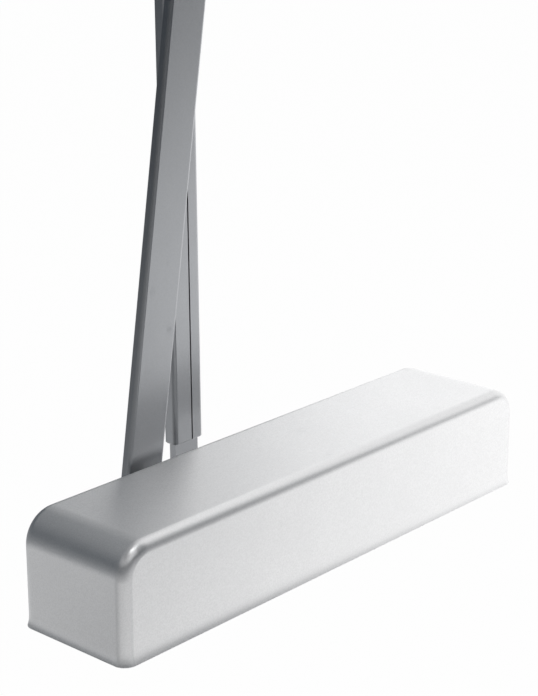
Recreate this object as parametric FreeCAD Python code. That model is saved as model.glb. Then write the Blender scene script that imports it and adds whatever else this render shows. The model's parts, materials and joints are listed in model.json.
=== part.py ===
"""Surface door closer with a clip-on cover and a folded double-lever arm, in millimetres.

X runs along the closer, Y along the pinion shaft towards the arm, and Z out from the door.
The origin is the centre of the mounting holes on the door face, and the shoe lies on the same plane.
"""

import FreeCAD, Part
import math
import os

V = FreeCAD.Vector

# Measuring tolerance for picking edges
place_tolerance = 0.001

# Cover
cover_length = 310.2
cover_width = 70.0
cover_depth = 59.6
cover_wall = 2.0
cover_end_radius = 17.2
cover_edge_radius = 6.0
cover_rim_gap = 0.5
rim_flare_out = 1.0
rim_flare_height = 6.0
rim_knee_out = 0.25
rim_knee_height = 2.7
rim_root = 0.6
notch_clearance = 1.6

# Spring clips that hold the cover on the casting
clip_space = 4.0
clip_thickness = 0.8
clip_width = 18.0
clip_height = 34.0
clip_rim_offset = 3.0
clip_rivet_radius = 1.6
clip_rivet_head_radius = 3.0
clip_rivet_head = 0.5
clip_rivet_drop = 9.0
clip_grip_gap = 0.3

# Body casting
casting_clearance = 1.6
base_thickness = 7.0
base_width = 44.0
base_corner_radius = 9.0
base_edge_chamfer = 1.2
cylinder_sink = 0.5
cylinder_wall = 5.4
cylinder_end_chamfer = 1.0
web_width = 30.0
web_inset = 8.0
lug_length = 21.1
lug_hole_inset = 9.5
mount_hole_spacing_y = 19.0
mount_hole_radius = 3.5
boss_wall = 5.0
rib_width = 12.0
rib_offset_y = 16.0
rib_left_inset = 5.0
rib_right_margin = 8.0
rib_top_drop = 0.4
rib_corner_radius = 3.0

# Regulating needles and their oil passage
needle_radius = 4.0
needle_fit = 0.05
needle_bore_depth = 12.0
needle_floor_gap = 1.0
needle_tip_height = 3.5
needle_tip_radius = 1.2
needle_head_drop = 0.6
needle_slot_width = 1.4
needle_slot_depth = 1.8
port_radius = 1.2
passage_radius = 1.5
passage_plug_length = 5.0
latch_needle_inset = 14.0
needle_pitch = 15.0
backcheck_needle_offset = 34.0

# Rack and pinion
tooth_module = 2.0
pinion_teeth = 10
pressure_angle = 25.0
addendum = 1.6
dedendum = 2.0
backlash = 0.2
arm_sweep = 150.0
gear_width = 22.0
journal_radius = 8.0
journal_fit = 0.04
shaft_end_inset = 0.6

# Shaft bearings, seals and gland nuts
bearing_wall = 3.6
bore_land = 1.0
shaft_seal_length = 2.4
gland_length = 2.65
gland_fit = 0.3
gland_notch_width = 3.0
gland_notch_depth = 1.4

# Piston and check valve
piston_fit = 0.05
piston_head = 11.9
piston_spring_wall = 12.0
piston_stop_gap = 0.3
window_clearance = 0.8
ring_width = 2.4
ring_depth = 2.0
ring_inset = 3.0
ring_fit = 0.03
pilot_radius = 11.0
pilot_length = 5.0
check_bore_radius = 3.3
check_bore_depth = 7.6
check_port_radius = 1.7
check_ball_radius = 2.8
check_seat_gap = 0.03
retainer_length = 1.4
retainer_inset = 0.3

# End plugs, spring and its adjuster
head_plug_length = 9.0
spring_plug_length = 14.0
plug_socket_across = 12.0
plug_socket_depth = 5.0
plug_groove_inset = 1.6
seat_thickness = 8.0
seat_fit = 0.3
seat_travel = 8.0
seat_stop_gap = 0.4
collar_radius = 7.5
collar_length = 2.5
collar_gap = 0.2
adjuster_radius = 4.0
adjuster_fit = 0.05
adjuster_shank_radius = 5.0
adjuster_socket_across = 5.0
adjuster_socket_depth = 4.0
adjuster_end_inset = 0.6
spring_mean_radius = 14.4
spring_wire = 4.4
spring_turns = 9
spring_end_gap = 0.2

# Main arm
arm_gap = 6.0
arm_length = 282.0
arm_lean = 8.83
arm_width = 25.0
arm_thickness = 6.0
arm_edge_radius = 1.9
arm_tip_radius = 13.0
hub_radius = 15.0
hub_cover_gap = 2.4
square_across = 11.0
square_fit = 0.05
square_end_inset = 0.5
arm_screw_radius = 3.0
arm_screw_length = 16.0
arm_screw_head_radius = 5.5
arm_screw_head = 4.0
arm_screw_socket_across = 5.0
arm_screw_socket_depth = 2.4
arm_washer_radius = 9.0
arm_washer_thickness = 1.6

# Elbow
elbow_gap = 4.0
elbow_pin_radius = 5.5
elbow_pin_head_radius = 9.0
elbow_pin_head = 3.0
elbow_spacer_radius = 11.0
elbow_face_gap = 0.2
elbow_bush_wall = 2.0
elbow_bush_fit = 0.05
elbow_washer_radius = 10.0
elbow_washer_thickness = 1.0
elbow_clip_radius = 9.0
elbow_clip_thickness = 1.2
elbow_clip_groove = 1.2
elbow_pin_tail = 1.6

# Forearm tube and its eye
forearm_lean = 0.55
tube_width = 21.1
tube_depth = 8.7
tube_wall = 2.0
tube_corner_radius = 2.3
tube_end_chamfer = 0.6
seam_width = 0.9
seam_offset = 2.2
eye_radius = 12.5
eye_shoulder = 17.0
tang_length = 34.0
tang_fit = 0.1
eye_rivet_radius = 2.0
eye_rivet_head_radius = 3.2
eye_rivet_head = 0.9
eye_rivet_first = 6.0
eye_rivet_pitch = 9.0

# Sliding rod and its clamp
rod_fit = 0.2
rod_exposed = 26.2
rod_engaged = 96.0
rod_eye_radius = 9.0
clamp_inset = 14.0
clamp_nut_across = 10.0
clamp_nut_height = 3.2
clamp_screw_radius = 3.0
clamp_screw_proud = 1.6
clamp_screw_gap = 0.1
clamp_socket_across = 3.0
clamp_socket_depth = 3.0

# Shoe
shoe_pivot_height = 28.0
shoe_length = 52.0
shoe_width = 20.0
shoe_thickness = 4.5
shoe_corner_radius = 4.0
shoe_offset_y = 4.2
shoe_hole_radius = 3.2
shoe_hole_spacing = 37.0
ear_thickness = 3.5
ear_gap = 0.3
ear_radius = 9.0
ear_foot_width = 20.0
shoe_pin_radius = 4.0
shoe_pin_head_radius = 6.5
shoe_pin_head = 2.4
shoe_pin_fit = 0.05
shoe_bush_wall = 1.8
shoe_clip_radius = 6.4
shoe_clip_thickness = 1.0
shoe_clip_groove = 0.9
shoe_pin_tail = 0.4

# Room inside the cover
inner_half_length = cover_length / 2 - cover_wall
inner_half_width = cover_width / 2 - cover_wall
inner_top = cover_depth - cover_wall

# Casting places
base_half = inner_half_length - clip_space
cylinder_half = base_half - lug_length
cylinder_radius = (inner_top - casting_clearance - base_thickness + cylinder_sink) / 2
bore_radius = cylinder_radius - cylinder_wall
bore_z = base_thickness - cylinder_sink + cylinder_radius
boss_half = inner_half_width - casting_clearance
mount_hole_x = base_half - lug_hole_inset
rib_top = bore_z + cylinder_radius - rib_top_drop

# Rack and pinion places
pitch_radius = tooth_module * pinion_teeth / 2
pinion_tip_radius = pitch_radius + addendum
stroke = pitch_radius * math.radians(arm_sweep)
piston_left = -cylinder_half + head_plug_length + piston_stop_gap
window_left = piston_left + piston_head
pinion_x = window_left + window_clearance + pinion_tip_radius + stroke
window_right = pinion_x + pinion_tip_radius + window_clearance
piston_right = window_right + piston_spring_wall
bearing_radius = journal_radius + bearing_wall
bearing_start = bore_radius + bore_land
boss_radius = bearing_radius + boss_wall
gland_start = boss_half - gland_length
seal_start = gland_start - shaft_seal_length
bearing_length = seal_start - bearing_start

# Spring places
spring_plug_face = cylinder_half - spring_plug_length
seat_right = spring_plug_face - collar_gap - collar_length - seat_stop_gap - seat_travel
seat_left = seat_right - seat_thickness

# Needle places
needle_floor = rib_top - needle_bore_depth
passage_z = needle_floor + needle_floor_gap + needle_tip_height / 2
latch_needle_x = -cylinder_half + latch_needle_inset
sweep_needle_x = latch_needle_x + needle_pitch
backcheck_needle_x = pinion_x + backcheck_needle_offset
rib_left = -cylinder_half + rib_left_inset
rib_right = backcheck_needle_x + rib_right_margin

# Arm places
cover_back = cover_width / 2
arm_front = cover_back + arm_gap
arm_back = arm_front + arm_thickness
hub_front = cover_back + hub_cover_gap
elbow_x = pinion_x + arm_length * math.sin(math.radians(arm_lean))
elbow_z = bore_z + arm_length * math.cos(math.radians(arm_lean))
tube_front = arm_back + elbow_gap
tube_middle = tube_front + tube_depth / 2
tube_back = tube_front + tube_depth
rod_reach = (elbow_z - shoe_pivot_height) / math.cos(math.radians(forearm_lean))
tube_end = rod_reach - rod_exposed
rod_width = tube_width - 2 * tube_wall - 2 * rod_fit
rod_thickness = tube_depth - 2 * tube_wall - 2 * rod_fit
shoe_x = elbow_x + rod_reach * math.sin(math.radians(forearm_lean))


def rod_x(radius, x0, x1, y=0.0, z=0.0):
    return Part.makeCylinder(radius, x1 - x0, V(x0, y, z), V(1, 0, 0))


def rod_y(radius, y0, y1, x=0.0, z=0.0):
    return Part.makeCylinder(radius, y1 - y0, V(x, y0, z), V(0, 1, 0))


def rod_z(radius, z0, z1, x=0.0, y=0.0):
    return Part.makeCylinder(radius, z1 - z0, V(x, y, z0), V(0, 0, 1))


def block(x0, x1, y0, y1, z0, z1):
    return Part.makeBox(x1 - x0, y1 - y0, z1 - z0, V(x0, y0, z0))


def ring_x(outer, inner, x0, x1):
    return rod_x(outer, x0, x1, z=bore_z).cut(rod_x(inner, x0, x1, z=bore_z))


def ring_y(outer, inner, y0, y1, x=0.0, z=0.0):
    return rod_y(outer, y0, y1, x, z).cut(rod_y(inner, y0, y1, x, z))


def hexagon(across, centre, normal, length):
    """Hexagonal prism from its centre along its normal."""
    polygon = Part.makePolygon([polar(across / math.sqrt(3), 60 * corner) for corner in range(7)])
    turned = Part.Face(polygon)
    turned.Placement = FreeCAD.Placement(centre, FreeCAD.Rotation(V(0, 0, 1), normal))
    return turned.extrude(normal * length)


def rounded_rectangle(half_x, half_y, radius, z):
    """Closed wire of a rectangle with round corners, which starts in the middle of its -Y side."""
    edges = []
    corners = [(half_x, -half_y, 270), (half_x, half_y, 0), (-half_x, half_y, 90), (-half_x, -half_y, 180)]
    last = V(0, -half_y, z)
    for corner_x, corner_y, start in corners:
        centre = V(math.copysign(half_x - radius, corner_x), math.copysign(half_y - radius, corner_y), z)
        points = [centre + polar(radius, start + turn) for turn in (0, 45, 90)]
        edges.append(Part.makeLine(last, points[0]))
        edges.append(Part.Arc(*points).toShape())
        last = points[2]
    edges.append(Part.makeLine(last, V(0, -half_y, z)))
    return Part.Wire(edges)


def polar(radius, degrees):
    return V(radius * math.cos(math.radians(degrees)), radius * math.sin(math.radians(degrees)), 0)


def edges_along(shape, direction):
    """Straight edges of a shape that run along one direction."""
    found = []
    for edge in shape.Edges:
        if edge.Curve.TypeId != "Part::GeomLine":
            continue
        if edge.Curve.Direction.cross(direction).Length < place_tolerance:
            found.append(edge)
    return found


def cover_form(half_length, half_width, bottom, top, end_radius, edge_radius):
    """Solid with a tunnel-shaped side view, and one soft edge round each long side."""
    corners = [
        V(-half_length, -half_width, bottom),
        V(-half_length, -half_width, top - end_radius),
        V(-half_length + end_radius, -half_width, top),
        V(half_length - end_radius, -half_width, top),
        V(half_length, -half_width, top - end_radius),
        V(half_length, -half_width, bottom),
    ]
    bulge = end_radius * (1 - math.sqrt(0.5))
    left_arc = Part.Arc(corners[1], V(-half_length + bulge, -half_width, top - bulge), corners[2])
    right_arc = Part.Arc(corners[3], V(half_length - bulge, -half_width, top - bulge), corners[4])
    outline = Part.Wire(
        [
            Part.makeLine(corners[0], corners[1]),
            left_arc.toShape(),
            Part.makeLine(corners[2], corners[3]),
            right_arc.toShape(),
            Part.makeLine(corners[4], corners[5]),
            Part.makeLine(corners[5], corners[0]),
        ]
    )
    solid = Part.Face(outline).extrude(V(0, 2 * half_width, 0))
    soft = []
    for edge in solid.Edges:
        box = edge.BoundBox
        if box.YLength < place_tolerance and box.ZMax > bottom + place_tolerance:
            soft.append(edge)
    return solid.makeFillet(edge_radius, soft)


def rim_flare():
    """Small outward curl round the cover's open edge."""
    side = -cover_width / 2
    low = cover_rim_gap
    high = cover_rim_gap + rim_flare_height
    knee = V(0, side - rim_knee_out, low + rim_knee_height)
    curl = Part.Arc(V(0, side, high), knee, V(0, side - rim_flare_out, low))
    section = Part.Wire(
        [
            curl.toShape(),
            Part.makeLine(V(0, side - rim_flare_out, low), V(0, side + rim_root, low)),
            Part.makeLine(V(0, side + rim_root, low), V(0, side + rim_root, high)),
            Part.makeLine(V(0, side + rim_root, high), V(0, side, high)),
        ]
    )
    path = rounded_rectangle(cover_length / 2, cover_width / 2, cover_edge_radius, low)
    return path.makePipeShell([section], True, False)


def cover():
    outer = cover_form(
        cover_length / 2, cover_width / 2, cover_rim_gap, cover_depth, cover_end_radius, cover_edge_radius
    )
    inner = cover_form(
        inner_half_length,
        inner_half_width,
        cover_rim_gap - cover_wall,
        inner_top,
        cover_end_radius - cover_wall,
        cover_edge_radius - cover_wall,
    )
    shell = outer.fuse(rim_flare()).cut(inner)
    notch_radius = journal_radius + notch_clearance
    notch_end = cover_back + 2 * rim_flare_out
    notch = rod_y(notch_radius, 0, notch_end, pinion_x, bore_z)
    notch = notch.fuse(block(pinion_x - notch_radius, pinion_x + notch_radius, 0, notch_end, 0, bore_z))
    return shell.cut(notch).removeSplitter()


def cover_clip():
    """Hairpin leaf at the +X end, between the end wall and the end of the casting."""
    wall_leg = inner_half_length - clip_thickness
    grip_leg = base_half + clip_grip_gap
    bend_z = clip_height
    bend_x = (inner_half_length + grip_leg) / 2
    bend_outer = (inner_half_length - grip_leg) / 2
    half = clip_width / 2
    low = cover_rim_gap + clip_rim_offset
    bend = ring_y(bend_outer, bend_outer - clip_thickness, -half, half, bend_x, bend_z)
    bend = bend.cut(block(grip_leg, inner_half_length, -half, half, bend_z - bend_outer, bend_z))
    legs = block(wall_leg, inner_half_length, -half, half, low, bend_z)
    legs = legs.fuse(block(grip_leg, grip_leg + clip_thickness, -half, half, low, bend_z))
    rivet_hole = rod_x(clip_rivet_radius, wall_leg, inner_half_length, z=bend_z - clip_rivet_drop)
    return legs.fuse(bend).cut(rivet_hole).removeSplitter()


def clip_rivet():
    """Stud on the end wall with a head over the clip's leg."""
    z = clip_height - clip_rivet_drop
    wall_leg = inner_half_length - clip_thickness
    head = rod_x(clip_rivet_head_radius, wall_leg - clip_rivet_head, wall_leg, z=z)
    return head.fuse(rod_x(clip_rivet_radius, wall_leg, inner_half_length, z=z)).removeSplitter()


def both_ends(solid):
    """A solid and its mirror image at the -X end, as two solids."""
    return Part.makeCompound([solid, solid.mirror(V(0, 0, 0), V(1, 0, 0))])


def casting_base():
    outline = rounded_rectangle(base_half, base_width / 2, base_corner_radius, 0)
    plate = Part.Face(outline).extrude(V(0, 0, base_thickness))
    rim = [e for e in plate.Edges if e.BoundBox.ZMin > base_thickness - place_tolerance]
    return plate.makeChamfer(base_edge_chamfer, rim)


def casting_rib():
    """Raised oil rib along the cylinder, on the side away from the arm."""
    low = bore_z + bore_radius / 2
    near = -rib_offset_y - rib_width / 2
    rib = block(rib_left, rib_right, near, near + rib_width, low, rib_top)
    top = [e for e in edges_along(rib, V(1, 0, 0)) if e.BoundBox.ZMin > rib_top - place_tolerance]
    return rib.makeFillet(rib_corner_radius, top)


def needle_places():
    return [latch_needle_x, sweep_needle_x, backcheck_needle_x]


def body_casting():
    cylinder = rod_x(cylinder_radius, -cylinder_half, cylinder_half, z=bore_z)
    cylinder = cylinder.makeChamfer(cylinder_end_chamfer, [e for e in cylinder.Edges if e.Closed])
    web_half = cylinder_half - web_inset
    web = block(-web_half, web_half, -web_width / 2, web_width / 2, base_thickness / 2, bore_z)
    boss = rod_y(boss_radius, -boss_half, boss_half, pinion_x, bore_z)
    body = casting_base().multiFuse([cylinder, web, boss, casting_rib()])
    cuts = [rod_x(bore_radius, -base_half, base_half, z=bore_z)]
    cuts.append(rod_y(bearing_radius, -cover_width, cover_width, pinion_x, bore_z))
    for side_x in (-mount_hole_x, mount_hole_x):
        for side_y in (-mount_hole_spacing_y / 2, mount_hole_spacing_y / 2):
            cuts.append(rod_z(mount_hole_radius, -base_thickness, 2 * base_thickness, side_x, side_y))
    for x in needle_places():
        cuts.append(rod_z(needle_radius, needle_floor, cover_depth, x, -rib_offset_y))
        cuts.append(rod_z(port_radius, bore_z, needle_floor, x, -rib_offset_y))
    cuts.append(rod_x(passage_radius, rib_left, backcheck_needle_x, -rib_offset_y, passage_z))
    return body.cut(Part.makeCompound(cuts)).removeSplitter()


def passage_plug():
    return rod_x(passage_radius, rib_left, rib_left + passage_plug_length, -rib_offset_y, passage_z)


def needle(x):
    """Slotted regulating screw with a tapered point, in its bore in the oil rib."""
    radius = needle_radius - needle_fit
    tip = needle_floor + needle_floor_gap
    shoulder = tip + needle_tip_height
    head = rib_top - needle_head_drop
    at = V(x, -rib_offset_y, tip)
    point = Part.makeCone(needle_tip_radius, radius, needle_tip_height, at)
    screw = point.fuse(rod_z(radius, shoulder, head, x, -rib_offset_y))
    half = needle_slot_width / 2
    near = -rib_offset_y - radius
    slot = block(x - half, x + half, near, near + 2 * radius, head - needle_slot_depth, head)
    return screw.cut(slot).removeSplitter()


def end_plug(x0, x1, groove_x):
    """Round plug that fills the cylinder's end, with a groove for its seal."""
    plug = rod_x(bore_radius, x0, x1, z=bore_z)
    return plug.cut(ring_x(bore_radius, bore_radius - ring_depth, groove_x, groove_x + ring_width))


def head_groove_x():
    return -cylinder_half + head_plug_length - plug_groove_inset - ring_width


def spring_groove_x():
    return spring_plug_face + plug_groove_inset


def head_end_plug():
    plug = end_plug(-cylinder_half, -cylinder_half + head_plug_length, head_groove_x())
    return plug.cut(hexagon(plug_socket_across, V(-cylinder_half, 0, bore_z), V(1, 0, 0), plug_socket_depth))


def spring_end_plug():
    plug = end_plug(spring_plug_face, cylinder_half, spring_groove_x())
    return plug.cut(rod_x(adjuster_shank_radius + adjuster_fit, spring_plug_face, cylinder_half, z=bore_z))


def plug_seal(groove_x):
    return ring_x(bore_radius, bore_radius - ring_depth, groove_x, groove_x + ring_width)


def spring_adjuster():
    """Screw that carries the spring seat, with a thrust collar and a socket at its outer end."""
    tail = seat_left - pilot_length - seat_travel
    collar_end = spring_plug_face - collar_gap
    collar_start = collar_end - collar_length
    outer_end = cylinder_half - adjuster_end_inset
    screw = rod_x(adjuster_radius, tail, collar_start, z=bore_z)
    screw = screw.fuse(rod_x(collar_radius, collar_start, collar_end, z=bore_z))
    screw = screw.fuse(rod_x(adjuster_shank_radius, collar_end, outer_end, z=bore_z))
    socket = hexagon(adjuster_socket_across, V(outer_end, 0, bore_z), V(-1, 0, 0), adjuster_socket_depth)
    return screw.cut(socket).removeSplitter()


def spring_seat():
    disc = rod_x(bore_radius - seat_fit, seat_left, seat_right, z=bore_z)
    pilot = rod_x(pilot_radius, seat_left - pilot_length, seat_left, z=bore_z)
    thread = rod_x(adjuster_radius + adjuster_fit, seat_left - pilot_length, seat_right, z=bore_z)
    return disc.fuse(pilot).cut(thread).removeSplitter()


def main_spring():
    """Coil of square wire between the piston and the spring seat."""
    start = piston_right + spring_end_gap + spring_wire / 2
    length = seat_left - spring_end_gap - spring_wire / 2 - start
    helix = Part.makeHelix(length / spring_turns, length, spring_mean_radius)
    near = spring_mean_radius - spring_wire / 2
    far = spring_mean_radius + spring_wire / 2
    half = spring_wire / 2
    corners = [V(near, 0, -half), V(far, 0, -half), V(far, 0, half), V(near, 0, half)]
    section = Part.makePolygon(corners + corners[:1])
    coil = Part.Wire(helix.Edges).makePipeShell([section], True, True)
    coil.Placement = FreeCAD.Placement(V(start, 0, bore_z), FreeCAD.Rotation(V(0, 0, 1), V(1, 0, 0)))
    return coil


def rack_window():
    """Side view of the opening through the piston, with the rack's teeth along its door side."""
    pitch = math.pi * tooth_module
    slope = math.tan(math.radians(pressure_angle))
    pitch_z = bore_z - pitch_radius
    crest = pitch_z + addendum
    root = pitch_z - dedendum
    ceiling = bore_z + pinion_tip_radius + window_clearance
    half_gap = pitch / 4 + backlash / 4
    half_crest = half_gap + addendum * slope
    half_root = half_gap - dedendum * slope
    first = -math.floor((pinion_x - window_left - half_crest) / pitch)
    last = math.floor((window_right - pinion_x - half_crest) / pitch)
    points = [V(window_left, 0, ceiling), V(window_left, 0, crest)]
    for gap in range(first, last + 1):
        middle = pinion_x + gap * pitch
        points.append(V(middle - half_crest, 0, crest))
        points.append(V(middle - half_root, 0, root))
        points.append(V(middle + half_root, 0, root))
        points.append(V(middle + half_crest, 0, crest))
    points += [V(window_right, 0, crest), V(window_right, 0, ceiling)]
    face = Part.Face(Part.makePolygon(points + points[:1]))
    face.translate(V(0, -2 * bore_radius, 0))
    return face.extrude(V(0, 4 * bore_radius, 0))


def piston():
    radius = bore_radius - piston_fit
    body = rod_x(radius, piston_left, piston_right, z=bore_z)
    body = body.fuse(rod_x(pilot_radius, piston_right, piston_right + pilot_length, z=bore_z))
    body = body.cut(rack_window())
    groove = piston_left + ring_inset
    body = body.cut(ring_x(bore_radius, bore_radius - ring_depth, groove, groove + ring_width))
    body = body.cut(rod_x(check_bore_radius, piston_left, piston_left + check_bore_depth, z=bore_z))
    body = body.cut(rod_x(check_port_radius, piston_left, window_left, z=bore_z))
    return body.removeSplitter()


def piston_ring():
    groove = piston_left + ring_inset
    return ring_x(bore_radius - ring_fit, bore_radius - ring_depth, groove, groove + ring_width)


def check_ball():
    reach = math.sqrt(check_ball_radius**2 - check_port_radius**2) + check_seat_gap
    return Part.makeSphere(check_ball_radius, V(piston_left + check_bore_depth - reach, 0, bore_z))


def ball_retainer():
    start = piston_left + retainer_inset
    return ring_x(check_bore_radius, check_port_radius, start, start + retainer_length)


def involute(base, radius):
    """Angle that a flank has turned through where it reaches a radius."""
    roll = math.acos(min(1.0, base / radius))
    return math.tan(roll) - roll


def pinion_gear():
    """Spur teeth, one of them pointing at the rack, from the shaft's middle plane out both ways."""
    base = pitch_radius * math.cos(math.radians(pressure_angle))
    root = pitch_radius - dedendum
    half_tooth = math.pi / (2 * pinion_teeth) - backlash / (4 * pitch_radius)
    half_base = half_tooth + involute(base, pitch_radius)
    radii = [base, (base + pinion_tip_radius) / 2, pinion_tip_radius]
    half_angles = [half_base - involute(base, radius) for radius in radii]
    tooth_step = 2 * math.pi / pinion_teeth

    def spot(radius, angle):
        return V(radius * math.sin(angle), 0, -radius * math.cos(angle))

    edges = []
    for tooth in range(pinion_teeth):
        middle = tooth * tooth_step
        rise = [spot(r, middle - a) for r, a in zip(radii, half_angles)]
        fall = [spot(r, middle + a) for r, a in zip(radii, half_angles)]
        foot_in = spot(root, middle - half_base)
        foot_out = spot(root, middle + half_base)
        edges.append(Part.makeLine(foot_in, rise[0]))
        edges.append(Part.Arc(*rise).toShape())
        edges.append(Part.Arc(rise[2], spot(pinion_tip_radius, middle), fall[2]).toShape())
        edges.append(Part.Arc(*reversed(fall)).toShape())
        edges.append(Part.makeLine(fall[0], foot_out))
        next_foot = spot(root, middle + tooth_step - half_base)
        edges.append(Part.Arc(foot_out, spot(root, middle + tooth_step / 2), next_foot).toShape())
    face = Part.Face(Part.Wire(edges))
    face.translate(V(pinion_x, -gear_width / 2, bore_z))
    return face.extrude(V(0, gear_width, 0))


def square_bar(across, y0, y1):
    """Square drive along the shaft, turned with the arm."""
    half = across / 2
    bar = block(-half, half, y0, y1, -half, half)
    return on_pinion(bar)


def pinion_shaft():
    shoulder = hub_front
    end = arm_back - square_end_inset
    shaft = rod_y(journal_radius, -boss_half + shaft_end_inset, shoulder, pinion_x, bore_z)
    shaft = shaft.multiFuse([pinion_gear(), square_bar(square_across, shoulder, end)])
    thread = rod_y(arm_screw_radius, arm_screw_tip(), end, pinion_x, bore_z)
    return shaft.cut(thread).removeSplitter()


def arm_screw_tip():
    return arm_back + arm_washer_thickness - arm_screw_length


def pinion_ring(inner, start, length, side):
    """Ring round the shaft, on the arm side (1) or the blind side (-1)."""
    low = start if side > 0 else -start - length
    return ring_y(bearing_radius, inner, low, low + length, pinion_x, bore_z)


def shaft_bearing(side):
    return pinion_ring(journal_radius + journal_fit, bearing_start, bearing_length, side)


def shaft_seal(side):
    return pinion_ring(journal_radius + journal_fit, seal_start, shaft_seal_length, side)


def gland_nut(side):
    """Threaded ring that closes the bearing bore, with two spanner notches in its outer face."""
    nut = pinion_ring(journal_radius + gland_fit, gland_start, gland_length, side)
    half = gland_notch_width / 2
    outer = side * boss_half
    inner = side * (boss_half - gland_notch_depth)
    low, high = sorted((outer, inner))
    left = pinion_x - bearing_radius
    notch = block(left, left + 2 * bearing_radius, low, high, bore_z - half, bore_z + half)
    return nut.cut(notch)


def both_sides(make):
    return Part.makeCompound([make(1), make(-1)])


def on_pinion(solid):
    """Places a solid drawn about the shaft's axis, with the arm along +Z, at the arm's angle."""
    solid.rotate(V(0, 0, 0), V(0, 1, 0), arm_lean)
    solid.translate(V(pinion_x, 0, bore_z))
    return solid


def on_elbow(solid):
    """Places a solid drawn about the elbow, with the forearm along -Z, at the forearm's angle."""
    solid.rotate(V(0, 0, 0), V(0, 1, 0), -forearm_lean)
    solid.translate(V(elbow_x, 0, elbow_z))
    return solid


def main_arm():
    """Forged flat bar with a hub on the shaft's square and a round end at the elbow."""
    half = arm_width / 2
    bar = block(-half, half, arm_front, arm_back, 0, arm_length)
    bar = bar.makeFillet(arm_edge_radius, edges_along(bar, V(0, 0, 1)))
    tip = rod_y(arm_tip_radius, arm_front, arm_back, 0, arm_length)
    tip = tip.makeFillet(arm_edge_radius, [e for e in tip.Edges if e.Closed])
    hub = rod_y(hub_radius, hub_front, arm_back)
    hub = hub.makeFillet(arm_edge_radius, [e for e in hub.Edges if e.Closed])
    arm = bar.multiFuse([tip, hub])
    socket = square_across / 2 + square_fit
    arm = arm.cut(block(-socket, socket, hub_front, arm_back, -socket, socket))
    arm = arm.cut(rod_y(elbow_pin_radius, arm_front, arm_back, 0, arm_length))
    return on_pinion(arm.removeSplitter())


def arm_washer():
    return ring_y(
        arm_washer_radius, arm_screw_radius, arm_back, arm_back + arm_washer_thickness, pinion_x, bore_z
    )


def arm_screw():
    seat = arm_back + arm_washer_thickness
    top = seat + arm_screw_head
    head = rod_y(arm_screw_head_radius, seat, top, pinion_x, bore_z)
    screw = head.fuse(rod_y(arm_screw_radius, arm_screw_tip(), seat, pinion_x, bore_z))
    socket = hexagon(arm_screw_socket_across, V(pinion_x, top, bore_z), V(0, -1, 0), arm_screw_socket_depth)
    return screw.cut(socket).removeSplitter()


def elbow_clip_start():
    return tube_back + 2 * elbow_face_gap + elbow_washer_thickness


def elbow_pin():
    """Headed pin, fast in the main arm, that the forearm turns on."""
    end = elbow_clip_start() + elbow_clip_thickness + elbow_pin_tail
    pin = rod_y(elbow_pin_radius, arm_front, end, elbow_x, elbow_z)
    pin = pin.fuse(rod_y(elbow_pin_head_radius, arm_front - elbow_pin_head, arm_front, elbow_x, elbow_z))
    start = elbow_clip_start()
    neck = elbow_pin_radius - elbow_clip_groove
    groove = ring_y(elbow_pin_radius, neck, start, start + elbow_clip_thickness, elbow_x, elbow_z)
    return pin.cut(groove).removeSplitter()


def elbow_spacer():
    return ring_y(
        elbow_spacer_radius, elbow_pin_radius, arm_back, tube_front - elbow_face_gap, elbow_x, elbow_z
    )


def elbow_bush():
    inner = elbow_pin_radius + elbow_bush_fit
    return ring_y(inner + elbow_bush_wall, inner, tube_front, tube_back, elbow_x, elbow_z)


def elbow_washer():
    start = tube_back + elbow_face_gap
    return ring_y(
        elbow_washer_radius, elbow_pin_radius, start, start + elbow_washer_thickness, elbow_x, elbow_z
    )


def snap_clip(outer, neck, mouth, start, thickness, x, z):
    """Open retaining clip that grips the groove of a pin, with its mouth towards -Z."""
    clip = ring_y(outer, neck, start, start + thickness, x, z)
    return clip.cut(block(x - mouth, x + mouth, start, start + thickness, z - outer, z))


def elbow_clip():
    neck = elbow_pin_radius - elbow_clip_groove
    start = elbow_clip_start()
    return snap_clip(elbow_clip_radius, neck, neck, start, elbow_clip_thickness, elbow_x, elbow_z)


def forearm_section(half_x, half_y, radius, z):
    wire = rounded_rectangle(half_x, half_y, radius, z)
    wire.translate(V(0, tube_middle, 0))
    return Part.Face(wire)


def tube_start():
    return -eye_shoulder


def forearm_tube():
    """Roll-formed rectangular tube with an open seam along its front face."""
    run = V(0, 0, -(tube_end - eye_shoulder))
    outer = forearm_section(tube_width / 2, tube_depth / 2, tube_corner_radius, tube_start())
    tube = outer.extrude(run)
    mouth = [e for e in tube.Edges if e.BoundBox.ZMax < -tube_end + place_tolerance]
    tube = tube.makeChamfer(tube_end_chamfer, mouth)
    inner_x = tube_width / 2 - tube_wall
    inner_y = tube_depth / 2 - tube_wall
    hollow = block(-inner_x, inner_x, tube_middle - inner_y, tube_middle + inner_y, -tube_end, tube_start())
    seam_low = seam_offset - seam_width / 2
    seam_high = seam_offset + seam_width / 2
    seam = block(seam_low, seam_high, tube_front, tube_middle, -tube_end, tube_start())
    tube = tube.cut(Part.makeCompound([hollow, seam]))
    for place in eye_rivet_places():
        tube = tube.cut(rod_y(eye_rivet_radius, tube_front, tube_back, 0, place))
    screw_hole = rod_y(clamp_screw_radius, tube_middle, tube_back, 0, clamp_z())
    return on_elbow(tube.cut(screw_hole))


def eye_rivet_places():
    first = tube_start() - eye_rivet_first
    return [first, first - eye_rivet_pitch]


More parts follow.
